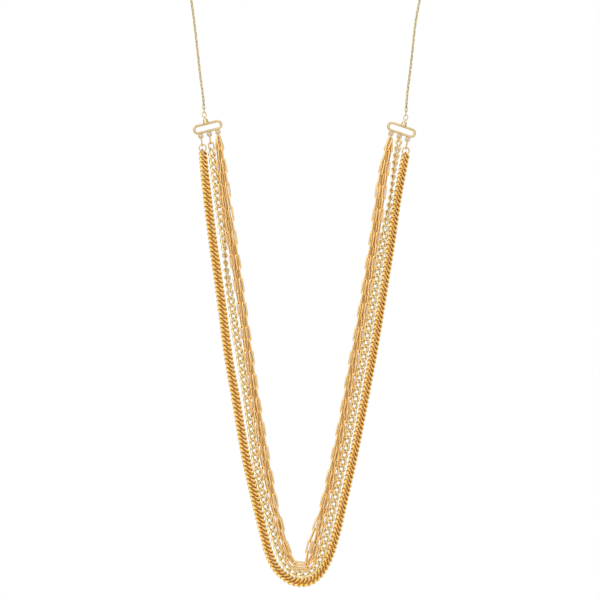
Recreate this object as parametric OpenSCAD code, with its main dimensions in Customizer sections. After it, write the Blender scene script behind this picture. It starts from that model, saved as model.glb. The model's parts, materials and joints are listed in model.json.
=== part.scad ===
// Long multi strand necklace in its worn form: two fine neck chains, two slotted frames and
// the strands that hang between them. Millimetres, front towards -Y, +Z up. The origin is
// where the clasp bears on the nape of the neck.

/* [Worn form] */
// How far the strands hang in front of the nape
front_depth = 105; // [95:5:120]
// Width over the neck chains where they lie widest
spread = 150; // [144:1:156]
// How far the lowest chain hangs below the nape
drop = 410; // [395:5:425]

/* [Clasp] */
// Length of the barrel
clasp_l = 11; // [9:0.5:14]
// Diameter of the barrel
clasp_d = 4; // [3.5:0.25:5]
// Outer diameter of the eye at each end
clasp_eye_d = 3; // [2.6:0.1:3.4]
// Wire of the eyes
clasp_eye_wire = 0.6; // [0.5:0.05:0.7]

/* [Neck chain] */
// Width of the fine chain round the neck
neck_w = 1.4; // [1:0.1:1.8]
// Length of the oval ring at its end
top_ring_l = 3.8; // [3.4:0.1:4.2]
// Width of that ring
top_ring_w = 2.8; // [2.5:0.1:3.2]
// Wire of that ring
top_ring_wire = 0.55; // [0.45:0.05:0.6]

/* [Slotted frames] */
// Length over the round ends
frame_l = 18; // [16:0.5:20]
// Height over the wires
frame_h = 6; // [5.5:0.25:6.5]
// Wire of the frame
frame_wire = 1.5; // [1.2:0.1:1.7]
// Tilt of the left frame, inner end up
tilt_left = 14; // [10:1:18]
// Tilt of the right frame, inner end up
tilt_right = 19; // [15:1:22]

/* [Caps on the frames] */
// Diameter of the cap at its foot
cap_d = 3.6; // [3:0.1:4]
// Diameter of the cap at its top
cap_top_d = 2.4; // [2:0.1:2.8]
// Height of the cap above the frame
cap_h = 2.3; // [2:0.1:2.8]
// Outer diameter of the eye on the cap
cap_eye_d = 2.2; // [2.1:0.1:2.4]
// Wire of that eye
cap_eye_wire = 0.5; // [0.4:0.05:0.55]

/* [Loops under the frames] */
// Outer diameter of a loop
loop_d = 3.3; // [3.1:0.1:3.5]
// Wire of a loop
loop_wire = 1; // [0.8:0.05:1.05]
// Distance from loop to loop as a share of the frame's straight sides
loop_share = 0.44; // [0.4:0.01:0.46]

/* [Hangers] */
// Wire of the oval links and of the rings
hanger_wire = 0.8; // [0.6:0.05:0.85]
// Length of an oval link
oval_l = 6.6; // [6:0.1:7]
// Width of an oval link
oval_w = 3.2; // [3:0.1:3.5]
// Diameter of the ring that carries the heavy chain
outer_ring_d = 4.9; // [4.6:0.1:5.2]
// Length of the oval ring that carries the open chain on the left
middle_ring_l = 5.4; // [5:0.1:5.8]
// Width of that oval ring
middle_ring_w = 3.8; // [3.6:0.1:4.1]
// Diameter of the ring that carries the open chain on the right
middle_ring_d = 4; // [3.9:0.1:4.4]
// Diameter of the ring that carries the fine strands
inner_ring_d = 4.6; // [4.2:0.1:5]

/* [Heavy curb chain] */
// Width of the chain
outer_w = 4.9; // [4.5:0.1:5]
// Thickness of the chain
outer_t = 2.8; // [2.4:0.1:3.2]

/* [Open curb chain] */
// Distance from link to link
open_pitch = 4.3; // [4.2:0.05:4.4]
// Length of a link
open_link_l = 7.1; // [7:0.05:7.3]
// Width of a link
open_link_w = 4.35; // [4.25:0.05:4.5]
// Wire of a link
open_wire = 1.05; // [0.85:0.05:1.05]

/* [Fine strands] */
// Diameter of the bundle of three strands
bundle_d = 4.3; // [3.8:0.1:4.5]
// Diameter of the strand that leaves the bundle
strand_d = 2.1; // [1.8:0.1:2.2]

/* [Hidden] */
gold = "goldenrod";
pale_gold = "palegoldenrod";
round_fn = 48;

// Play where one ring hangs on another, gap at a chain's end and depth of a soldered seat
slack = 0.12;
end_gap = 0.3;
solder = 0.45;

left = -1;
right = 1;
outer = 1;
middle = 0;
inner = -1;
// Middle of each slotted frame, how far its cap sits outwards, the lean of the ring on it and the
// lean of the hangers, which the strands pull in
frame_mid_left = [-58.4, -136.4];
frame_mid_right = [57.9, -137.9];
cap_out = 0.3;
top_lean = 11;
hang_lean = 9;
// How far forward of their rings the bundle's end reaches, and how clear of them the loose strand hangs
bundle_ahead = 0.2;
strand_clear = 0.5;

// Routes, drawn for this spread and drop. A neck chain's point is x outwards, y as a share of
// front_depth and z. A strand's point is x, y from the front plane and z. The ends are worked
// out from the rings that hold them.
route_spread = 150;
route_drop = 410;
neck_behind = [
    [22, 0.01, 0], [39, 0.1, 0], [54.5, 0.23, 0], [66, 0.41, -1.5], [72.5, 0.59, -5.5],
    [75, 0.76, -14.5], [74, 0.895, -28], [71.5, 0.975, -44]
];
neck_front_left = [[68.3, 1, -60], [66, 1, -77], [64.3, 1, -92], [62.6, 1, -107.5], [61.1, 1, -118.5]];
neck_front_right = [[68.8, 1, -60], [66.5, 1, -72.5], [64.2, 1, -93], [62.8, 1, -105], [61.4, 1, -116]];
outer_route = [
    [-60.6, 0, -160], [-57.9, 0, -184], [-54.6, 0, -210], [-50.2, 0, -241], [-45.8, 0, -275],
    [-41.2, 0, -301], [-35.4, 0.2, -335], [-29.5, 0.6, -361], [-24.8, 1.2, -380], [-20.9, 1.9, -394],
    [-17.2, 2.4, -401.3], [-12.8, 2.6, -405.6], [-8, 2.6, -408.8], [-2.8, 2.6, -409.8], [2.4, 2.6, -409.3],
    [7.5, 2.6, -405.8], [11.2, 2.4, -401], [14.7, 1.9, -393.6], [17.7, 1.2, -384], [23.2, 0.6, -360.5],
    [28.8, 0, -335.5], [35.6, 0, -300.5], [39, 0, -282.5], [42.3, 0, -264], [45.8, 0, -242.5],
    [48.9, 0, -223], [51.9, 0, -204], [55.6, 0, -178], [58.6, 0, -162]
];
middle_route = [
    [-54.7, 0.3, -161], [-52.3, 0.9, -179], [-49.7, 0.9, -198], [-46.9, 0.9, -224], [-43.9, 0.9, -243.5],
    [-41.4, 0.9, -260.5], [-37.7, 0.9, -282], [-33.8, 0.9, -307.5], [-30.1, 0.9, -333.5], [-25.2, 0.8, -359],
    [-20.8, 0.7, -374], [-17.6, 0.7, -385], [-14.6, 0.7, -394], [-11, 0.7, -400.2], [-6.4, 0.7, -404],
    [-0.9, 0.7, -404.9], [4.1, 0.7, -402.9], [7.6, 0.7, -399], [10.1, 0.7, -393.5], [12, 0.7, -385.5],
    [14, 0.7, -377], [17.8, 0.8, -360], [21.5, 0.9, -343], [25.1, 0.9, -326], [28.5, 0.9, -309],
    [31.7, 0.9, -292], [35, 0.9, -275], [38, 0.9, -258], [40.8, 0.9, -241], [43.5, 0.9, -223.5],
    [46.5, 0.9, -207], [49.5, 0.8, -190], [52.2, 0.4, -172], [54, 0.2, -157.5]
];
bundle_route = [
    [-51.2, 0.6, -149], [-50.1, -0.1, -165.5], [-48, -1, -184], [-44.7, -1.1, -204], [-41.5, -1, -222.5],
    [-38.6, -0.9, -240.5], [-36.1, -0.9, -259], [-33.8, -0.9, -275.5], [-30.6, -0.9, -300.5],
    [-27.6, -0.9, -319], [-24.8, -0.9, -336], [-19.6, -1, -360], [-16, -1.2, -373], [-13.1, -1.5, -385],
    [-9.8, -1.7, -394], [-6.2, -1.7, -399.2], [-2, -1.7, -400.9], [2.1, -1.7, -399.4], [5.1, -1.7, -394.6],
    [7, -1.5, -386.5], [10.6, -1.2, -371], [15.5, -1, -351.5], [19.1, -0.9, -335.5], [22.5, -0.9, -319],
    [25.8, -0.9, -300.5], [29, -0.9, -282.5], [32.4, -0.9, -264], [36.1, -0.9, -242.5], [39.3, -0.9, -223],
    [42.2, -0.8, -204], [44.3, -0.6, -189], [47.4, 0.1, -166], [49.8, 0.6, -150.5]
];
strand_route = [
    [-50.4, -2.5, -150], [-47.4, -3, -165.5], [-44.9, -3.5, -184], [-42, -3.8, -204], [-39.3, -4, -222.5],
    [-36.8, -4, -240.5], [-34.2, -4, -259], [-31.8, -4, -275.5], [-28.2, -3.8, -300.5], [-25, -3.8, -319],
    [-22.2, -3.9, -336], [-17.8, -4.3, -360], [-15.5, -4.8, -373], [-12, -5.1, -385.5], [-8.3, -5.2, -394],
    [-4.9, -5.3, -398.4], [-1.3, -5.3, -399.7], [1.2, -5.2, -397], [1.6, -5.1, -391], [2.9, -4.9, -384.5],
    [5.2, -4.7, -378.5], [8.4, -4.4, -369.5], [13, -4, -351.5], [16.6, -3.7, -335.5], [20, -3.7, -319],
    [23.4, -3.7, -300.5], [26.5, -3.7, -282.5], [29.9, -3.7, -264], [33.7, -3.7, -242.5], [36.8, -3.7, -223],
    [39.8, -3.6, -204], [41.8, -3.4, -189], [44.8, -2.9, -166], [48, -2.5, -152]
];

// Share of the length against share of the bundle's diameter, and against the open chain's turn
// in degrees: a quarter turn shows its edge, and the end links cross their rings
bundle_girth = [[0, 0.62], [0.05, 0.9], [0.1, 1], [0.9, 1], [0.95, 0.9], [1, 0.62]];
open_turn = [
    [0, -30], [0.06, 0], [0.07, 0], [0.185, -180], [0.885, -180], [0.935, -270], [0.945, -270], [1, -240]
];

// Rings and sides of the swept tubes, sides of an open link and its wire
neck_rings = 35;
outer_rings = 44;
bundle_rings = 44;
strand_rings = 50;
tube_sides = 8;
bundle_sides = 10;
link_sides = 10;
wire_sides = 5;
// How much closer the rings of a strand stand at its foot than on its straight legs
foot_crowd = 0.75;
tube_reach = 1;
route_steps = 6;
link_twist = 60;
link_reach = 1;
facing = [0, -1, 0];
neck_side = [0.7, -0.5, -0.5];

// Vector and route functions
function unit(v) = v / norm(v);
function bend(a, b, c, d, t) = let (
    u = norm(b - a),
    v = norm(c - b),
    w = norm(d - c),
    m = (b - a) / u - (c - a) / (u + v) + (c - b) / v,
    n = (c - b) / v - (d - b) / (v + w) + (d - c) / w
) (2 * t ^ 3 - 3 * t ^ 2 + 1) * b + (t ^ 3 - 2 * t ^ 2 + t) * v * m
    + (3 * t ^ 2 - 2 * t ^ 3) * c + (t ^ 3 - t ^ 2) * v * n;
function smooth(pts) = let (
    n = len(pts),
    p = concat([2 * pts[0] - pts[1]], pts, [2 * pts[n - 1] - pts[n - 2]])
) concat([
    for (i = [1:n - 1]) for (k = [0:route_steps - 1])
        bend(p[i - 1], p[i], p[i + 1], p[i + 2], k / route_steps)
], [pts[n - 1]]);
function step(line, i) = i + 1 < len(line) ? norm(line[i + 1] - line[i]) : 0;
function lengths(line) = [for (i = 0, s = 0; i < len(line); s = s + step(line, i), i = i + 1) s];
function measured(line) = let (s = lengths(line)) [
    for (k = [0:2]) [for (i = [0:len(line) - 1]) [s[i], line[i][k]]]
];
function run(way) = way[0][len(way[0]) - 1][0];
function along(way, s) = [lookup(s, way[0]), lookup(s, way[1]), lookup(s, way[2])];
function heading(way, s, reach) = unit(along(way, min(s + reach, run(way))) - along(way, max(s - reach, 0)));
function across(dir, want) = unit(want - dir * (want * dir));
function turned(n, dir, angle) = n * cos(angle) + cross(dir, n) * sin(angle);

// Places on a frame, out along it and down from its middle, and down the line of its hangers
function tilt(side) = side == left ? tilt_left : tilt_right;
function placed(x, y, z) = [x * spread / route_spread, y, z * drop / route_drop];
function frame_mid(side) = let (m = side == left ? frame_mid_left : frame_mid_right)
    placed(m[0], -front_depth, m[1]);
function on_frame(side, out, down) = let (a = tilt(side))
    frame_mid(side) + [side * (out * cos(a) - down * sin(a)), 0, -out * sin(a) - down * cos(a)];
function hang_dir(side) = [-side * sin(hang_lean), 0, -cos(hang_lean)];
function mid_r(d, wire) = (d - wire) / 2;
loop_gap = loop_share * (frame_l - frame_h);
loop_drop = frame_h / 2 + loop_d / 2 - solder;
cap_eye_rise = frame_h / 2 + cap_h + cap_eye_d / 2 - solder;
function loop_mid(side, place) = on_frame(side, place * loop_gap, loop_drop);
// Middle of a ring that hangs on the wire centred at p, and the wire centre at that ring's foot
function hung(side, p, wire, r) = p + (r - (wire + hanger_wire) / 2 - slack) * hang_dir(side);
function foot(side, mid, r) = mid + r * hang_dir(side);
function loop_foot(side, place) = foot(side, loop_mid(side, place), mid_r(loop_d, loop_wire));

oval_r = mid_r(oval_l, hanger_wire);
outer_r = mid_r(outer_ring_d, hanger_wire);
inner_r = mid_r(inner_ring_d, hanger_wire);
function oval_mid(side, place) = hung(side, loop_foot(side, place), loop_wire, oval_r);
function outer_mid(side) = hung(side, foot(side, oval_mid(side, outer), oval_r), hanger_wire, outer_r);
function inner_mid(side) = hung(side, loop_foot(side, inner), loop_wire, inner_r);
function middle_r(side) = side == left ? mid_r(middle_ring_l, hanger_wire) : mid_r(middle_ring_d, hanger_wire);
function middle_mid(side) = side == left
    ? hung(side, foot(side, oval_mid(side, middle), oval_r), hanger_wire, middle_r(side))
    : hung(side, loop_foot(side, middle), loop_wire, middle_r(side));
top_ring_r = mid_r(top_ring_l, top_ring_wire);
top_ring_rise = top_ring_r + mid_r(cap_eye_d, cap_eye_wire) - (cap_eye_wire + top_ring_wire) / 2 - slack;
function top_dir(side) = [side * sin(top_lean), 0, cos(top_lean)];
function top_ring_mid(side) = on_frame(side, cap_out, -cap_eye_rise) + top_ring_rise * top_dir(side);

// Whole routes, with their ends at the rings
clasp_eye_mid = clasp_l / 2 + clasp_eye_d / 2 - solder;
function at_front(pts) = [for (p = pts) placed(p[0], p[1] - front_depth, p[2])];
function tube_end(side, mid, r, back) = foot(side, mid, r + hanger_wire / 2 + end_gap) + [0, back, 0];
function neck_way(side, pts) = measured(smooth(concat(
    [[side * (clasp_eye_mid + clasp_eye_d / 2 + end_gap), clasp_d / 2, 0]],
    [for (p = pts) placed(side * p[0], -p[1] * front_depth, p[2])],
    [top_ring_mid(side) + (top_ring_l / 2 + end_gap) * top_dir(side)]
)));
outer_way = measured(smooth(concat(
    [tube_end(left, outer_mid(left), outer_r, 0)],
    at_front(outer_route),
    [tube_end(right, outer_mid(right), outer_r, 0)]
)));
middle_way = measured(smooth(concat(
    [foot(left, middle_mid(left), middle_r(left))],
    at_front(middle_route),
    [foot(right, middle_mid(right), middle_r(right))]
)));
bundle_back = bundle_d * bundle_girth[0][1] / 2 - bundle_ahead;
bundle_way = measured(smooth(concat(
    [tube_end(left, inner_mid(left), inner_r, bundle_back)],
    at_front(bundle_route),
    [tube_end(right, inner_mid(right), inner_r, bundle_back)]
)));
strand_ahead = strand_d / 2 + strand_clear;
strand_way = measured(smooth(concat(
    [tube_end(left, inner_mid(left), inner_r, -strand_ahead)],
    at_front(strand_route),
    [tube_end(right, inner_mid(right), inner_r, -strand_ahead)]
)));

// A tube swept along a way, wide across the view and thick along it
module tube(way, rings, sides, wide, thick, want, girth = [[0, 1], [1, 1]], crowd = foot_crowd) {
    points = [
        for (i = [0:rings - 1])
            let (
                share = i / (rings - 1),
                s = run(way) * (share + crowd * sin(360 * share) / (2 * PI)),
                dir = heading(way, s, tube_reach),
                n = across(dir, want),
                b = cross(dir, n),
                g = lookup(s / run(way), girth) / 2
            )
            for (k = [0:sides - 1])
                along(way, s) + g * (wide * cos(360 * k / sides) * b + thick * sin(360 * k / sides) * n)
    ];
    walls = [
        for (i = [0:rings - 2]) for (k = [0:sides - 1])
            let (a = i * sides + k, b = i * sides + (k + 1) % sides)
            each [[a, b, b + sides], [a, b + sides, a + sides]]
    ];
    near_end = [for (k = [1:sides - 2]) [0, k + 1, k]];
    last = (rings - 1) * sides;
    far_end = [for (k = [1:sides - 2]) [last, last + k, last + k + 1]];
    polyhedron(points, concat(walls, near_end, far_end));
}

// One curb link: an oval ring of wire, its ends twisted to either side about the chain
link_r = mid_r(open_link_l, open_wire);
link_half = mid_r(open_link_w, open_wire);
function twist_at(t) = link_twist * cos(t);
function link_line(t) = [link_r * cos(t), 0, 0] + link_half * sin(t) * [0, cos(twist_at(t)), sin(twist_at(t))];
function link_normal(t) = [0, -sin(twist_at(t)), cos(twist_at(t))];
link_shape = [
    for (i = [0:link_sides - 1])
        let (
            t = 360 * (i + 0.5) / link_sides,
            dir = unit(link_line(t + link_reach) - link_line(t - link_reach)),
            n = across(dir, link_normal(t)),
            b = cross(dir, n)
        )
        for (k = [0:wire_sides - 1])
            link_line(t) + open_wire / 2 * (cos(360 * k / wire_sides) * b + sin(360 * k / wire_sides) * n)
];
link_faces = [
    for (i = [0:link_sides - 1]) for (k = [0:wire_sides - 1])
        let (
            j = (i + 1) % link_sides,
            m = (k + 1) % wire_sides,
            a = i * wire_sides + k,
            b = i * wire_sides + m,
            c = j * wire_sides + m,
            d = j * wire_sides + k
        )
        each [[a, b, c], [a, c, d]]
];
link_points = link_sides * wire_sides;
// The first and last links hang on the wires of the rings, and the rest share the way between
first_link = link_r * cos(180 / link_sides) - (open_wire + hanger_wire) / 2 - slack;
open_way = run(middle_way) - 2 * first_link;
open_links = round(open_way / open_pitch) + 1;
open_step = open_way / (open_links - 1);
left_links = floor(open_links / 2);
function open_points(i) = let (
    s = first_link + i * open_step,
    dir = heading(middle_way, s, open_step / 2),
    n = turned(across(dir, facing), dir, lookup(s / run(middle_way), open_turn)),
    b = cross(n, dir),
    mid = along(middle_way, s)
) [for (p = link_shape) mid + p[0] * dir + p[1] * b + p[2] * n];
module open_chain(from, to) {
    polyhedron(
        [for (i = [from:to]) each open_points(i)],
        [for (i = [from:to]) for (f = link_faces) f + (i - from) * link_points * [1, 1, 1]]
    );
}

// Round ring of wire in the plane that faces +Z, and an oval one that is long in X
module ring(d, wire) {
    rotate_extrude($fn = round_fn) translate([mid_r(d, wire), 0]) circle(d = wire, $fn = round_fn);
}
module oval(l, w, wire) {
    for (end = [left, right]) {
        translate([end * (l - w) / 2, 0, 0]) rotate([0, 0, -90 * end])
            rotate_extrude(angle = 180, $fn = round_fn)
                translate([mid_r(w, wire), 0]) circle(d = wire, $fn = round_fn);
        translate([0, end * mid_r(w, wire), 0]) rotate([0, 90, 0])
            cylinder(h = l - w, d = wire, center = true, $fn = round_fn);
    }
}
// Rings as they hang: seen from the front as a circle, or turned to show their edge
module ring_facing(mid, d, wire) {
    translate(mid) rotate([90, 0, 0]) ring(d, wire);
}
module ring_edge_on(side, mid, d, wire) {
    translate(mid) rotate([0, side * hang_lean + 90, 0]) ring(d, wire);
}
module oval_edge_on(side, mid) {
    translate(mid) rotate([0, side * hang_lean + 90, 0]) oval(oval_l, oval_w, hanger_wire);
}

module clasp() {
    color(gold) translate([0, clasp_d / 2, 0]) {
        bevel = clasp_d / 5;
        rotate([0, 90, 0]) cylinder(h = clasp_l - 2 * bevel, d = clasp_d, center = true, $fn = round_fn);
        for (end = [left, right]) {
            translate([end * (clasp_l / 2 - bevel), 0, 0]) rotate([0, 90 * end, 0])
                cylinder(h = bevel, d1 = clasp_d, d2 = clasp_d - 2 * bevel, $fn = round_fn);
            translate([end * clasp_eye_mid, 0, 0]) ring(clasp_eye_d, clasp_eye_wire);
        }
    }
}
module neck_chain(side, front) {
    color(gold) tube(neck_way(side, concat(neck_behind, front)), neck_rings, tube_sides, neck_w, neck_w,
        [side * neck_side[0], neck_side[1], neck_side[2]], crowd = 0);
}
module top_ring(side) {
    color(gold) translate(top_ring_mid(side)) rotate([0, side * top_lean + 90, 0]) rotate([90, 0, 0])
        oval(top_ring_l, top_ring_w, top_ring_wire);
}
// Slotted frame with a capped eye above and three loops below, soldered into one
module connector(side) {
    mid = on_frame(side, 0, 0);
    color(pale_gold) translate(mid) mirror([side == right ? 1 : 0, 0, 0]) rotate([0, -tilt(side), 0]) {
        rotate([90, 0, 0]) oval(frame_l, frame_h, frame_wire);
        translate([-cap_out, 0, frame_h / 2 - solder])
            cylinder(h = cap_h + solder, d1 = cap_d, d2 = cap_top_d, $fn = round_fn);
        translate([-cap_out, 0, cap_eye_rise]) rotate([0, 90, 0]) ring(cap_eye_d, cap_eye_wire);
        for (place = [outer, middle, inner])
            translate([-place * loop_gap, 0, -loop_drop]) rotate([90, 0, 0]) ring(loop_d, loop_wire);
    }
}
module outer_link(side) {
    color(pale_gold) oval_edge_on(side, oval_mid(side, outer));
}
module outer_ring(side) {
    color(gold) ring_facing(outer_mid(side), outer_ring_d, hanger_wire);
}
module middle_link_left() {
    color(pale_gold) oval_edge_on(left, oval_mid(left, middle));
}
module middle_ring_left() {
    color(gold) translate(middle_mid(left)) rotate([0, 90 - hang_lean, 0]) rotate([90, 0, 0])
        oval(middle_ring_l, middle_ring_w, hanger_wire);
}
module middle_ring_right() {
    color(gold) ring_edge_on(right, middle_mid(right), middle_ring_d, hanger_wire);
}
module inner_ring(side) {
    color(gold) ring_edge_on(side, inner_mid(side), inner_ring_d, hanger_wire);
}
module outer_chain() {
    color(gold) tube(outer_way, outer_rings, tube_sides, outer_w, outer_t, facing);
}
module middle_chain_left() {
    color(pale_gold) open_chain(0, left_links - 1);
}
module middle_chain_right() {
    color(pale_gold) open_chain(left_links, open_links - 1);
}
module strand_bundle() {
    color(gold) tube(bundle_way, bundle_rings, bundle_sides, bundle_d, bundle_d, facing, bundle_girth);
}
module loose_strand() {
    color(gold) tube(strand_way, strand_rings, tube_sides, strand_d, strand_d, facing);
}

clasp();
neck_chain(left, neck_front_left);  // neck_chain_left
neck_chain(right, neck_front_right);  // neck_chain_right
top_ring(left);  // top_ring_left
top_ring(right);  // top_ring_right
connector(left);  // connector_left
connector(right);  // connector_right
outer_link(left);  // outer_link_left
outer_link(right);  // outer_link_right
outer_ring(left);  // outer_ring_left
outer_ring(right);  // outer_ring_right
middle_link_left();
middle_ring_left();
middle_ring_right();
inner_ring(left);  // inner_ring_left
inner_ring(right);  // inner_ring_right
outer_chain();
middle_chain_left();
middle_chain_right();
strand_bundle();
loose_strand();
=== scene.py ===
import bisect
import json
import math
import random

import bpy
from mathutils import Matrix, Vector


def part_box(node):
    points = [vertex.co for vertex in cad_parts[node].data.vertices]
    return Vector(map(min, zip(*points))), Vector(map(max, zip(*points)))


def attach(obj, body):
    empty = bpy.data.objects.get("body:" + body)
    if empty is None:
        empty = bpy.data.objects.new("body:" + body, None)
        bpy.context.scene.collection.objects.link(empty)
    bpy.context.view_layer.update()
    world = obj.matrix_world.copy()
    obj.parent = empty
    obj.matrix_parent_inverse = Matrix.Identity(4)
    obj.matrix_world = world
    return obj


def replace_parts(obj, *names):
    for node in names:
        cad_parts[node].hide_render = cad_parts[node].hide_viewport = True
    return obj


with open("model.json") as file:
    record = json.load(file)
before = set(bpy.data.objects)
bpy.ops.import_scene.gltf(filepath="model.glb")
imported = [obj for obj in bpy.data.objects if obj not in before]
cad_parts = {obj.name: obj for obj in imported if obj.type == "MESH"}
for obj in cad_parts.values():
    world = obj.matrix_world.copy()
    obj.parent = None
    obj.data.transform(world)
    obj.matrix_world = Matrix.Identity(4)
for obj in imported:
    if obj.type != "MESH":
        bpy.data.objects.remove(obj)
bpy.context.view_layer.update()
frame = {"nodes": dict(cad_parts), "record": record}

mm = 0.001
random.seed(7)

# ---- view ----
view = {"lens": 220, "sensor": 36, "distance": 2.2, "x": -0.003, "z": -0.24, "front": -0.105, "farthest": 40}


def makeCamera():
    place = (view["x"], view["front"] - view["distance"], view["z"])
    bpy.ops.object.camera_add(location=place, rotation=(math.pi / 2, 0, 0))
    camera = bpy.context.object
    camera.name = "frontCamera"
    camera.data.lens = view["lens"]
    camera.data.sensor_width = view["sensor"]
    camera.data.clip_end = view["farthest"]
    bpy.context.scene.camera = camera


makeCamera()
print("camera in place")


# ---- routes, in millimetres ----
def bend(a, b, c, d, t):  # from b to c on a smooth curve that also heeds a and d
    u, v, w = (b - a).length, (c - b).length, (d - c).length
    m = (b - a) / u - (c - a) / (u + v) + (c - b) / v
    n = (c - b) / v - (d - b) / (v + w) + (d - c) / w
    leave, arrive = (t**3 - 2 * t**2 + t) * v * m, (t**3 - t**2) * v * n
    return (2 * t**3 - 3 * t**2 + 1) * b + leave + (3 * t**2 - 2 * t**3) * c + arrive


def measured(line):  # a line with the length run up to each of its points
    run = [0]
    for a, b in zip(line, line[1:]):
        run.append(run[-1] + (b - a).length)
    return {"line": line, "run": run}


def smoothRoute(points, steps=6):
    p = [Vector(q) for q in points]
    p = [2 * p[0] - p[1]] + p + [2 * p[-1] - p[-2]]
    line = [bend(*p[i - 1:i + 3], k / steps) for i in range(1, len(p) - 2) for k in range(steps)]
    return measured(line + [p[-2]])


def pointAt(route, s):
    run, line = route["run"], route["line"]
    i = min(max(bisect.bisect_right(run, s) - 1, 0), len(run) - 2)
    t = (s - run[i]) / (run[i + 1] - run[i])
    return line[i].lerp(line[i + 1], t)


def headingAt(route, s, reach):
    end = route["run"][-1]
    return (pointAt(route, min(s + reach, end)) - pointAt(route, max(s - reach, 0))).normalized()


def lookUp(table, x):
    if x <= table[0][0]:
        return table[0][1]
    for (x0, y0), (x1, y1) in zip(table, table[1:]):
        if x <= x1:
            return y0 + (y1 - y0) * (x - x0) / (x1 - x0)
    return table[-1][1]


def sideOf(heading, want):  # the part of want that stands square to the heading
    return (want - heading * want.dot(heading)).normalized()


front = Vector((0, -1, 0))
frontDepth = 105


def atFront(points):
    return [(x, y - frontDepth, z) for x, y, z in points]


def boxOf(node):  # lowest and highest corner in millimetres
    low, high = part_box(node)
    return low / mm, high / mm


def wireFoot(node, wire):  # centre of a ring's wire at its lowest point
    low, high = boxOf(node)
    middle = (low + high) / 2
    return Vector((middle.x, middle.y, low.z + wire / 2))


# ---- finishes ----
gilding = {  # what all the golds share
    "cloudDetail": 3, "grainDetail": 2, "deepUpTo": 0.35, "lightFrom": 0.68,
    "grainLow": 0.3, "grainHigh": 0.7, "bumpDepth": 0.00005}


def addNoise(nodes, scale, detail):
    noise = nodes.new("ShaderNodeTexNoise")
    noise.inputs["Scale"].default_value = scale
    noise.inputs["Detail"].default_value = detail
    return noise


def shadeLinks(nodes, links, look, cloud, ramp, shader):  # each link has its own tone, and painted shade darkens its hollows
    tone = nodes.new("ShaderNodeAttribute")
    tone.attribute_name = "tone"
    blend = nodes.new("ShaderNodeMath")
    blend.operation = "MULTIPLY_ADD"
    blend.inputs[1].default_value = look["toneShare"]
    links.new(tone.outputs["Fac"], blend.inputs[0])
    links.new(cloud.outputs["Fac"], blend.inputs[2])
    links.new(blend.outputs[0], ramp.inputs["Fac"])
    paintedShade = nodes.new("ShaderNodeAttribute")
    paintedShade.attribute_name = "paintedShade"
    share = nodes.new("ShaderNodeMath")
    share.operation = "MULTIPLY"
    share.inputs[1].default_value = look["paintedShadeShare"]
    links.new(paintedShade.outputs["Fac"], share.inputs[0])
    shade = nodes.new("ShaderNodeMix")
    shade.data_type = "RGBA"
    shade.inputs["B"].default_value = (*look["paintedShade"], 1)
    links.new(share.outputs[0], shade.inputs["Factor"])
    links.new(ramp.outputs["Color"], shade.inputs["A"])
    links.new(shade.outputs["Result"], shader.inputs["Base Color"])


def goldFinish(name, look):
    material = bpy.data.materials.new(name)
    material.use_nodes = True
    nodes, links = material.node_tree.nodes, material.node_tree.links
    shader = nodes["Principled BSDF"]
    shader.inputs["Metallic"].default_value = 1
    place = nodes.new("ShaderNodeTexCoord")
    cloud = addNoise(nodes, look["cloud"], gilding["cloudDetail"])
    grain = addNoise(nodes, look["grain"], gilding["grainDetail"])
    for noise in (cloud, grain):
        links.new(place.outputs["Object"], noise.inputs["Vector"])
    ramp = nodes.new("ShaderNodeValToRGB")
    ramp.color_ramp.elements[0].position = gilding["deepUpTo"]
    ramp.color_ramp.elements[0].color = (*look["deep"], 1)
    ramp.color_ramp.elements[1].position = gilding["lightFrom"]
    ramp.color_ramp.elements[1].color = (*look["light"], 1)
    if "paintedShade" in look:
        shadeLinks(nodes, links, look, cloud, ramp, shader)
    else:
        links.new(cloud.outputs["Fac"], ramp.inputs["Fac"])
        links.new(ramp.outputs["Color"], shader.inputs["Base Color"])
    rough = nodes.new("ShaderNodeMapRange")
    rough.inputs["From Min"].default_value = gilding["grainLow"]
    rough.inputs["From Max"].default_value = gilding["grainHigh"]
    rough.inputs["To Min"].default_value = look["rough"][0]
    rough.inputs["To Max"].default_value = look["rough"][1]
    links.new(grain.outputs["Fac"], rough.inputs["Value"])
    links.new(rough.outputs["Result"], shader.inputs["Roughness"])
    bump = nodes.new("ShaderNodeBump")
    bump.inputs["Strength"].default_value = look["bump"]
    bump.inputs["Distance"].default_value = gilding["bumpDepth"]
    links.new(grain.outputs["Fac"], bump.inputs["Height"])
    links.new(bump.outputs["Normal"], shader.inputs["Normal"])
    return material


# ---- links ----
linkShape = {  # how a torus becomes a link: where its slot narrows, how its ends are pulled apart, and how the painted shade on its inner side falls off
    "slotReaches": (0.75, 0.4), "innerHalf": 0.99, "nearShare": 0.35, "farFrom": 0.3,
    "paintedShadeFall": 1.5, "play": 0.1}


def pick(thing, test):  # selects points by place and stays in edit mode
    bpy.ops.object.mode_set(mode="EDIT")
    bpy.ops.mesh.select_mode(type="VERT")
    bpy.ops.mesh.select_all(action="DESELECT")
    bpy.ops.object.mode_set(mode="OBJECT")
    for point in thing.data.vertices:
        point.select = test(point.co)
    bpy.ops.object.mode_set(mode="EDIT")


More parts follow.
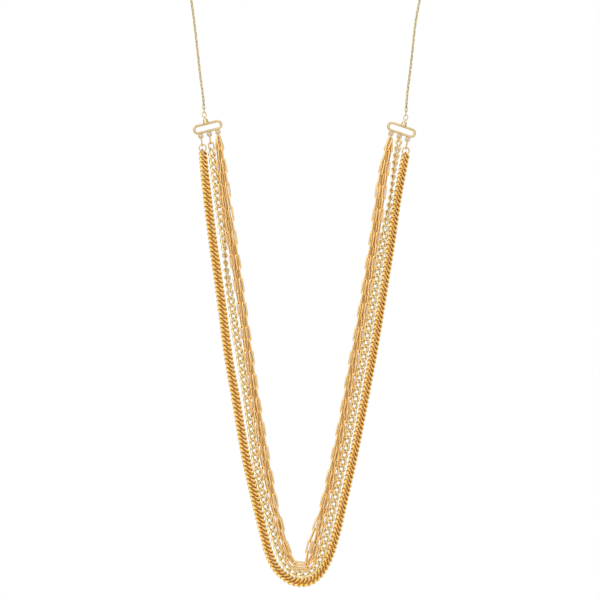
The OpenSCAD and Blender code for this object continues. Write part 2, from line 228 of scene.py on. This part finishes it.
def wireLink(name, size):  # a torus pulled out into an oval link that lies flat along X
    bpy.ops.object.select_all(action="DESELECT")
    middleRadius = (size["width"] - size["wire"]) / 2 * mm
    bpy.ops.mesh.primitive_torus_add(
        major_segments=size["around"], minor_segments=size["sides"], major_radius=middleRadius,
        minor_radius=size["wire"] / 2 * mm, rotation=(0, 0, math.pi / size["around"]))
    link = bpy.context.object
    link.name = name
    bpy.ops.object.transform_apply(location=True, rotation=True, scale=True)
    # painted shade: the inner side of the wire, facing the link's hole, is painted darker
    paintedShade = link.data.attributes.new("paintedShade", "FLOAT", "POINT")
    inward = [(middleRadius - v.co.xy.length) / (size["wire"] / 2 * mm) for v in link.data.vertices]
    shadeValues = [max(0, 0.5 + 0.5 * share) ** linkShape["paintedShadeFall"] for share in inward]
    paintedShade.data.foreach_set("value", shadeValues)
    bpy.ops.object.mode_set(mode="EDIT")
    bpy.ops.mesh.select_all(action="SELECT")
    bpy.ops.transform.resize(value=(1, 1, size["flat"]), center_override=(0, 0, 0))
    bpy.ops.object.mode_set(mode="OBJECT")
    inside = middleRadius - size["wire"] / 2 * mm
    innerRadius = middleRadius * linkShape["innerHalf"]
    for reach in linkShape["slotReaches"]:
        pick(link, lambda co: co.xy.length < innerRadius and abs(co.x) < inside * reach)
        bpy.ops.transform.resize(value=(1, size["slot"] ** 0.5, 1), center_override=(0, 0, 0))
    bpy.ops.object.mode_set(mode="OBJECT")
    pull = (size["length"] - size["width"]) / 2 * mm
    near = linkShape["nearShare"]
    for side in (-1, 1):
        for edge, share in ((0, near), (middleRadius * linkShape["farFrom"] + pull * near, 1 - near)):
            pick(link, lambda co: co.x * side > edge)
            bpy.ops.transform.translate(value=(side * pull * share, 0, 0))
    bpy.ops.mesh.select_all(action="SELECT")
    bpy.ops.mesh.normals_make_consistent(inside=False)
    bpy.ops.object.mode_set(mode="OBJECT")
    return link


def twistLink(link, size):  # its two ends turned to either side about the chain
    twist = link.modifiers.new("twist", "SIMPLE_DEFORM")
    twist.deform_method = "TWIST"
    twist.deform_axis = "X"
    twist.angle = math.radians(2 * size["twist"])
    bpy.ops.object.modifier_apply(modifier=twist.name)
    # painted shade: points near the link's middle plane, where the twisted wires shade each other, are
    # painted darker
    depth = max(abs(v.co.z) for v in link.data.vertices)
    paintedShade = link.data.attributes["paintedShade"].data
    for v in link.data.vertices:
        paintedShade[v.index].value = max(paintedShade[v.index].value, 1 - abs(v.co.z) / depth)


def chainOf(name, link, places, tones):  # one mesh from a copy of the link at every place
    copies = []
    for place, tone in zip(places, tones):
        piece = link.copy()
        piece.data = link.data.copy()
        piece.matrix_world = place
        shade = piece.data.attributes.new("tone", "FLOAT", "POINT")
        shade.data.foreach_set("value", [tone] * len(piece.data.vertices))
        bpy.context.collection.objects.link(piece)
        copies.append(piece)
    bpy.context.view_layer.update()
    bpy.ops.object.select_all(action="DESELECT")
    for piece in copies:
        piece.select_set(True)
    bpy.context.view_layer.objects.active = copies[0]
    bpy.ops.object.join()
    chain = bpy.context.object
    chain.name = name
    bpy.ops.object.transform_apply(location=True, rotation=True, scale=True)
    return chain


def linkPlace(route, s, reach, want, turn):  # where a link sits, its length along the route
    reach = min(reach, s, route["run"][-1] - s)
    start, end = pointAt(route, s - reach), pointAt(route, s + reach)
    heading = (end - start).normalized()
    normal = sideOf(heading, want)
    normal = Matrix.Rotation(math.radians(turn), 3, heading) @ normal
    across = normal.cross(heading)
    middle = (start + end) / 2 * mm
    return Matrix((
        (heading.x, across.x, normal.x, middle.x), (heading.y, across.y, normal.y, middle.y),
        (heading.z, across.z, normal.z, middle.z), (0, 0, 0, 1)))


def spread(route, first, pitch):  # equal steps, an even number of them, so both end links hang alike
    way = route["run"][-1] - 2 * first
    steps = 2 * round(way / pitch / 2)
    return [first + way * i / steps for i in range(steps + 1)]


def endLink(size):  # from a ring's wire to the middle of the link that hangs on it
    return size["length"] / 2 - size["wire"] - size["ringWire"] / 2 - linkShape["play"]


def dropLink(link):
    bpy.data.objects.remove(link)


# ---- heavy curb chain ----
heavy = {
    "width": 5.6, "length": 5.5, "wire": 1.35, "flat": 0.556, "slot": 0.33, "pitch": 2.7, "twist": -60,
    "around": 16, "sides": 6, "ringWire": 0.8}
heavyTurn = [(0, 30), (0.06, 0), (0.47, 0), (0.6, -20), (1, -30)]
heavyRoute = [
    (-60.6, 0, -160), (-57.9, 0, -184), (-54.6, 0, -210), (-50.2, 0, -241), (-45.8, 0, -275),
    (-41.2, 0, -301), (-35.4, 0.2, -335), (-29.5, 0.6, -361), (-24.8, 1.2, -380), (-20.9, 1.9, -394),
    (-17.2, 2.4, -401.3), (-12.8, 2.6, -405.6), (-8, 2.6, -408.8), (-2.8, 2.6, -409.8), (2.4, 2.6, -409.3),
    (7.5, 2.6, -405.8), (11.2, 2.4, -401), (14.7, 1.9, -393.6), (17.7, 1.2, -384), (23.2, 0.6, -360.5),
    (28.8, 0, -335.5), (35.6, 0, -300.5), (39, 0, -282.5), (42.3, 0, -264), (45.8, 0, -242.5),
    (48.9, 0, -223), (51.9, 0, -204), (55.6, 0, -178), (58.6, 0, -162)]


def makeHeavyChain():
    link = wireLink("heavyLink", heavy)
    twistLink(link, heavy)
    bpy.ops.object.shade_smooth()
    link.data.materials.append(deepGold)
    ends = [wireFoot(node, heavy["ringWire"]) for node in ("outer_ring_left", "outer_ring_right")]
    route = smoothRoute([ends[0], *atFront(heavyRoute), ends[1]])
    stops = spread(route, endLink(heavy), heavy["pitch"])
    total = route["run"][-1]
    places = [linkPlace(route, s, heavy["pitch"] / 2, front, lookUp(heavyTurn, s / total)) for s in stops]
    chain = chainOf("heavyChain", link, places, [random.random() for s in stops])
    dropLink(link)
    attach(chain, "root")
    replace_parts(chain, "outer_chain")


# its darkest colour, with its share, is painted shade in the hollows of the links
deepGold = goldFinish("deepGold", {
    "light": (1, 0.7, 0.26), "deep": (0.96, 0.62, 0.18), "paintedShade": (0.72, 0.42, 0.08), "paintedShadeShare": 0.8,
    "toneShare": 0.25, "cloud": 300, "grain": 5000, "rough": (0.2, 0.34), "bump": 0.1})
makeHeavyChain()
print("heavy curb chain made")

# ---- open curb chain ----
openCurb = {
    "width": 5, "length": 7.2, "wire": 1.3, "flat": 0.7, "slot": 0.65, "pitch": 4.3, "twist": -60,
    "around": 16, "sides": 6, "ringWire": 0.8}
openTurn = [  # share of the way, and degrees that a link is turned there
    (0, 30), (0.06, 0), (0.07, 0), (0.185, 180), (0.885, 180), (0.935, 270), (0.945, 270), (1, 225)]
openRoute = [
    (-54.7, 0.3, -161), (-52.3, 0.9, -179), (-49.7, 0.9, -198), (-46.9, 0.9, -224), (-43.9, 0.9, -243.5),
    (-41.4, 0.9, -260.5), (-37.7, 0.9, -282), (-33.8, 0.9, -307.5), (-30.1, 0.9, -333.5), (-25.2, 0.8, -359),
    (-20.8, 0.7, -374), (-17.6, 0.7, -385), (-14.6, 0.7, -394), (-11, 0.7, -400.2), (-6.4, 0.7, -404),
    (-0.9, 0.7, -404.9), (4.1, 0.7, -402.9), (7.6, 0.7, -399), (10.1, 0.7, -393.5), (12, 0.7, -385.5),
    (14, 0.7, -377), (17.8, 0.8, -360), (21.5, 0.9, -343), (25.1, 0.9, -326), (28.5, 0.9, -309),
    (31.7, 0.9, -292), (35, 0.9, -275), (38, 0.9, -258), (40.8, 0.9, -241), (43.5, 0.9, -223.5),
    (46.5, 0.9, -207), (49.5, 0.8, -190), (52.2, 0.4, -172), (54, 0.2, -157.5)]


def makeOpenChain():
    link = wireLink("openLink", openCurb)
    twistLink(link, openCurb)
    bpy.ops.object.shade_smooth()
    link.data.materials.append(champagneGold)
    ends = [wireFoot(node, openCurb["ringWire"]) for node in ("middle_ring_left", "middle_ring_right")]
    route = smoothRoute([ends[0], *atFront(openRoute), ends[1]])
    stops = spread(route, endLink(openCurb), openCurb["pitch"])
    total = route["run"][-1]
    places = [linkPlace(route, s, openCurb["pitch"] / 2, front, lookUp(openTurn, s / total)) for s in stops]
    half = len(places) // 2
    halves = (
        ("openChainLeft", "middle_chain_left", places[:half]),
        ("openChainRight", "middle_chain_right", places[half:]))
    for name, node, share in halves:
        chain = chainOf(name, link, share, [random.random() for place in share])
        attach(chain, "root")
        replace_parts(chain, node)
    dropLink(link)


# its darkest colour, with its share, is painted shade in the hollows of the links
champagneGold = goldFinish("champagneGold", {
    "light": (1, 0.84, 0.45), "deep": (0.97, 0.76, 0.37), "paintedShade": (0.78, 0.57, 0.26), "paintedShadeShare": 0.5,
    "toneShare": 0.2, "cloud": 250, "grain": 5000, "rough": (0.22, 0.34), "bump": 0.06})
makeOpenChain()
print("open curb chain made")

# ---- fine long link strands ----
fine = {
    "width": 3.1, "length": 9.6, "wire": 1.1, "flat": 0.66, "slot": 1, "pitch": 7.2,
    "around": 12, "sides": 6, "ringWire": 0.8, "ringRadius": 1.9}
bundleRoute = [
    (-51.2, 0.6, -149), (-50.1, -0.1, -165.5), (-48, -1, -184), (-44.7, -1.1, -204), (-41.5, -1, -222.5),
    (-38.6, -0.9, -240.5), (-36.1, -0.9, -259), (-33.8, -0.9, -275.5), (-30.6, -0.9, -300.5),
    (-27.6, -0.9, -319), (-24.8, -0.9, -336), (-19.6, -1, -360), (-16, -1.2, -373), (-13.1, -1.5, -385),
    (-9.8, -1.7, -394), (-6.2, -1.7, -399.2), (-2, -1.7, -400.9), (2.1, -1.7, -399.4), (5.1, -1.7, -394.6),
    (7, -1.5, -386.5), (10.6, -1.2, -371), (15.5, -1, -351.5), (19.1, -0.9, -335.5), (22.5, -0.9, -319),
    (25.8, -0.9, -300.5), (29, -0.9, -282.5), (32.4, -0.9, -264), (36.1, -0.9, -242.5), (39.3, -0.9, -223),
    (42.2, -0.8, -204), (44.3, -0.6, -189), (47.4, 0.1, -166), (49.8, 0.6, -150.5)]
looseRoute = [
    (-50.4, -2.5, -150), (-47.4, -3, -165.5), (-44.9, -3.5, -184), (-42, -3.8, -204), (-39.3, -4, -222.5),
    (-36.8, -4, -240.5), (-34.2, -4, -259), (-31.8, -4, -275.5), (-28.2, -3.8, -300.5), (-25, -3.8, -319),
    (-22.2, -3.9, -336), (-17.8, -4.3, -360), (-15.5, -4.8, -373), (-12, -5.1, -385.5), (-8.3, -5.2, -394),
    (-4.9, -5.3, -398.4), (-1.3, -5.3, -399.7), (1.2, -5.2, -397), (1.6, -5.1, -391), (2.9, -4.9, -384.5),
    (5.2, -4.7, -378.5), (8.4, -4.4, -369.5), (13, -4, -351.5), (16.6, -3.7, -335.5), (20, -3.7, -319),
    (23.4, -3.7, -300.5), (26.5, -3.7, -282.5), (29.9, -3.7, -264), (33.7, -3.7, -242.5), (36.8, -3.7, -223),
    (39.8, -3.6, -204), (41.8, -3.4, -189), (44.8, -2.9, -166), (48, -2.5, -152)]
strands = [  # place on the ring in degrees, and steps from the middle of the bundle
    {"name": "fineStrandA", "onRing": -16, "step": -1},
    {"name": "fineStrandB", "onRing": 16, "step": 0},
    {"name": "fineStrandC", "onRing": 48, "step": 1}]
bundle = {
    "beside": 1.25, "behind": 1.6, "settle": 6, "turn": 68, "onRing": 16, "looseOnRing": -48, "stops": 360}
innerRings = ("inner_ring_left", "inner_ring_right")


def onRing(node, degrees):  # a place on the wire of a ring that is seen edge on
    foot = wireFoot(node, fine["ringWire"])
    a = math.radians(degrees)
    return foot + Vector((0, math.sin(a), 1 - math.cos(a))) * fine["ringRadius"]


def betweenRings(points, degrees):
    ends = [onRing(node, degrees) for node in innerRings]
    return smoothRoute([ends[0], *atFront(points), ends[1]])


def strandRoute(middle, strand):  # one behind and beside the other, and gathered at the rings
    total = middle["run"][-1]
    ends = [onRing(node, strand["onRing"]) for node in innerRings]
    line = []
    for i in range(bundle["stops"] + 1):
        s = total * i / bundle["stops"]
        free = min(1, min(s, total - s) / bundle["settle"])
        free = free * free * (3 - 2 * free)
        end = ends[0] if s < total / 2 else ends[1]
        held = end - pointAt(middle, 0 if s < total / 2 else total)
        heading = headingAt(middle, s, 2)
        back = sideOf(heading, -front)
        away = (heading.cross(back) * bundle["beside"] + back * bundle["behind"]) * strand["step"]
        line.append(pointAt(middle, s) + away * free + held * (1 - free))
    return measured(line)


def makeStrand(name, link, route):  # every other link is turned away from the front
    stops = spread(route, endLink(fine), fine["pitch"])
    turns = [bundle["turn"] * (i % 2) for i in range(len(stops))]
    places = [linkPlace(route, s, fine["pitch"] / 2, front, turn) for s, turn in zip(stops, turns)]
    strand = chainOf(name, link, places, [random.random() for s in stops])
    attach(strand, "root")
    return strand


def makeStrands():
    link = wireLink("fineLink", fine)
    bpy.ops.object.shade_smooth()
    link.data.materials.append(strandGold)
    middle = betweenRings(bundleRoute, bundle["onRing"])
    for strand in strands:
        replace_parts(makeStrand(strand["name"], link, strandRoute(middle, strand)), "strand_bundle")
    loose = makeStrand("looseStrand", link, betweenRings(looseRoute, bundle["looseOnRing"]))
    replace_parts(loose, "loose_strand")
    dropLink(link)


# its darkest colour, with its share, is painted shade in the hollows of the links
strandGold = goldFinish("strandGold", {
    "light": (1, 0.72, 0.34), "deep": (0.98, 0.62, 0.23), "paintedShade": (0.62, 0.32, 0.07), "paintedShadeShare": 0.85,
    "toneShare": 0.25, "cloud": 250, "grain": 5000, "rough": (0.2, 0.32), "bump": 0.08})
makeStrands()
print("fine strands made")

# ---- neck chain ----
neck = {
    "width": 1.85, "length": 3.65, "wire": 0.58, "flat": 1, "slot": 1, "pitch": 2.4,
    "around": 10, "sides": 5, "ringWire": 0.55, "eyeInset": 0.3, "frontFrom": 0.7, "frontOver": 0.1}
neckTurn = [(0, 45), (0.96, 45), (1, 90)]
shoulderLean = (0.7, -0.5, -0.5)  # which way the links face behind, on the right side
neckBehind = [
    (22, 0.01, 0), (39, 0.1, 0), (54.5, 0.23, 0), (66, 0.41, -1.5), (72.5, 0.59, -5.5),
    (75, 0.76, -14.5), (74, 0.895, -28), (71.5, 0.975, -44)]
neckFront = {
    "left": [(68.3, 1, -60), (66, 1, -77), (64.3, 1, -92), (62.6, 1, -107.5), (61.1, 1, -118.5)],
    "right": [(68.8, 1, -60), (66.5, 1, -72.5), (64.2, 1, -93), (62.8, 1, -105), (61.4, 1, -116)]}


def makeNeckChains():
    link = wireLink("neckLink", neck)
    bpy.ops.object.shade_smooth()
    link.data.materials.append(fineGold)
    claspLow, claspHigh = boxOf("clasp")
    for side, mirror in (("left", -1), ("right", 1)):
        low, high = boxOf("top_ring_" + side)
        eye = Vector((mirror * (claspHigh.x - neck["eyeInset"]), (claspLow.y + claspHigh.y) / 2, 0))
        ringTop = Vector(((low.x + high.x) / 2, (low.y + high.y) / 2, high.z - neck["ringWire"] / 2))
        points = [(mirror * x, -share * frontDepth, z) for x, share, z in neckBehind + neckFront[side]]
        route = smoothRoute([eye, *points, ringTop])
        stops = spread(route, endLink(neck), neck["pitch"])
        total = route["run"][-1]
        want = Vector((mirror * shoulderLean[0], *shoulderLean[1:]))
        places = []
        for i, s in enumerate(stops):
            behind = (neck["frontFrom"] - s / total) / neck["frontOver"]
            lean = front.lerp(want, min(1, max(0, behind)))
            turn = 90 * (i % 2) - mirror * lookUp(neckTurn, s / total)
            places.append(linkPlace(route, s, neck["pitch"] / 2, lean, turn))
        chain = chainOf("neckChain" + side.capitalize(), link, places, [random.random() for s in stops])
        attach(chain, "root")
        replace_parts(chain, "neck_chain_" + side)
    dropLink(link)


# its darkest colour, with its share, is painted shade in the hollows of the links
fineGold = goldFinish("fineGold", {
    "light": (0.74, 0.57, 0.23), "deep": (0.6, 0.43, 0.15), "paintedShade": (0.4, 0.28, 0.1), "paintedShadeShare": 0.7,
    "toneShare": 0.25, "cloud": 250, "grain": 5000, "rough": (0.24, 0.36), "bump": 0.06})
makeNeckChains()
print("neck chains made")

# ---- frames, rings and clasp ----
paleGold = goldFinish("paleGold", {
    "light": (0.74, 0.57, 0.32), "deep": (0.62, 0.46, 0.23),
    "cloud": 180, "grain": 3500, "rough": (0.16, 0.3), "bump": 0.08})
ringGold = goldFinish("ringGold", {
    "light": (0.77, 0.55, 0.28), "deep": (0.66, 0.44, 0.18),
    "cloud": 200, "grain": 4000, "rough": (0.14, 0.26), "bump": 0.08})
finishes = {"pale_gold": paleGold, "polished_gold": ringGold}


def dressNodes():
    for part in frame["record"]["subparts"]:
        node = frame["nodes"][part["node"]]
        if not node.hide_render:
            node.data.materials.clear()
            node.data.materials.append(finishes[part["material_slot"]])


dressNodes()
print("frames, rings and clasp dressed")

# ---- floor, light and background ----
studio = {
    "floorDrop": -1.0, "floorSize": 12, "paper": (0.9, 0.9, 0.9), "background": 1.0,
    "brightSide": (-0.25, -0.75, 0.6), "dimUpTo": 0.2, "dim": 0.2, "brightFrom": 0.85, "bright": 1.15}
lamps = [  # name, place, size, power
    ("keyLight", (-1.3, -1.7, 0.9), 1.2, 6), ("fillLight", (1.6, -1.5, 0.1), 1.4, 3),
    ("topLight", (0.1, -0.3, 1.5), 1.2, 4), ("rearLight", (0.6, 1.6, 0.5), 1.4, 3)]
lampTarget = (0, -0.1, -0.22)


def makeFloor():
    bpy.ops.object.select_all(action="DESELECT")
    bpy.ops.mesh.primitive_plane_add(size=studio["floorSize"], location=(0, 0, studio["floorDrop"]))
    floor = bpy.context.object
    floor.name = "floor"
    bpy.ops.object.transform_apply(location=True, rotation=True, scale=True)
    paper = bpy.data.materials.new("palePaper")
    paper.use_nodes = True
    shader = paper.node_tree.nodes["Principled BSDF"]
    shader.inputs["Base Color"].default_value = (*studio["paper"], 1)
    shader.inputs["Roughness"].default_value = 0.9
    floor.data.materials.append(paper)


def makeLights():
    for name, place, size, power in lamps:
        aim = Vector(lampTarget) - Vector(place)
        turn = aim.to_track_quat("-Z", "Y").to_euler()
        bpy.ops.object.light_add(type="AREA", location=place, rotation=turn)
        lamp = bpy.context.object
        lamp.name = name
        lamp.data.shape = "DISK"
        lamp.data.size = size
        lamp.data.energy = power


def makeWorld():  # white behind the piece, and a room that is brighter to one side for its reflections
    world = bpy.data.worlds.new("studioWorld")
    bpy.context.scene.world = world
    world.use_nodes = True
    nodes, links = world.node_tree.nodes, world.node_tree.links
    backdrop = nodes["Background"]
    backdrop.inputs["Color"].default_value = (1, 1, 1, 1)
    backdrop.inputs["Strength"].default_value = studio["background"]
    room = nodes.new("ShaderNodeBackground")
    place = nodes.new("ShaderNodeTexCoord")
    toward = nodes.new("ShaderNodeVectorMath")
    toward.operation = "DOT_PRODUCT"
    toward.inputs[1].default_value = studio["brightSide"]
    ramp = nodes.new("ShaderNodeValToRGB")
    lift = nodes.new("ShaderNodeMapRange")
    lift.inputs["From Min"].default_value = -1
    lift.inputs["From Max"].default_value = 1
    tones = ((studio["dimUpTo"], studio["dim"]), (studio["brightFrom"], studio["bright"]))
    for stop, (position, tone) in zip(ramp.color_ramp.elements, tones):
        stop.position = position
        stop.color = (tone, tone, tone, 1)
    links.new(place.outputs["Generated"], toward.inputs[0])
    links.new(toward.outputs["Value"], lift.inputs["Value"])
    links.new(lift.outputs["Result"], ramp.inputs["Fac"])
    links.new(ramp.outputs["Color"], room.inputs["Color"])
    path = nodes.new("ShaderNodeLightPath")
    choose = nodes.new("ShaderNodeMixShader")
    links.new(path.outputs["Is Camera Ray"], choose.inputs["Fac"])
    links.new(room.outputs["Background"], choose.inputs[1])
    links.new(backdrop.outputs["Background"], choose.inputs[2])
    links.new(choose.outputs["Shader"], nodes["World Output"].inputs["Surface"])


makeFloor()
makeLights()
makeWorld()
bpy.context.scene.view_settings.view_transform = "Standard"
print("studio made")
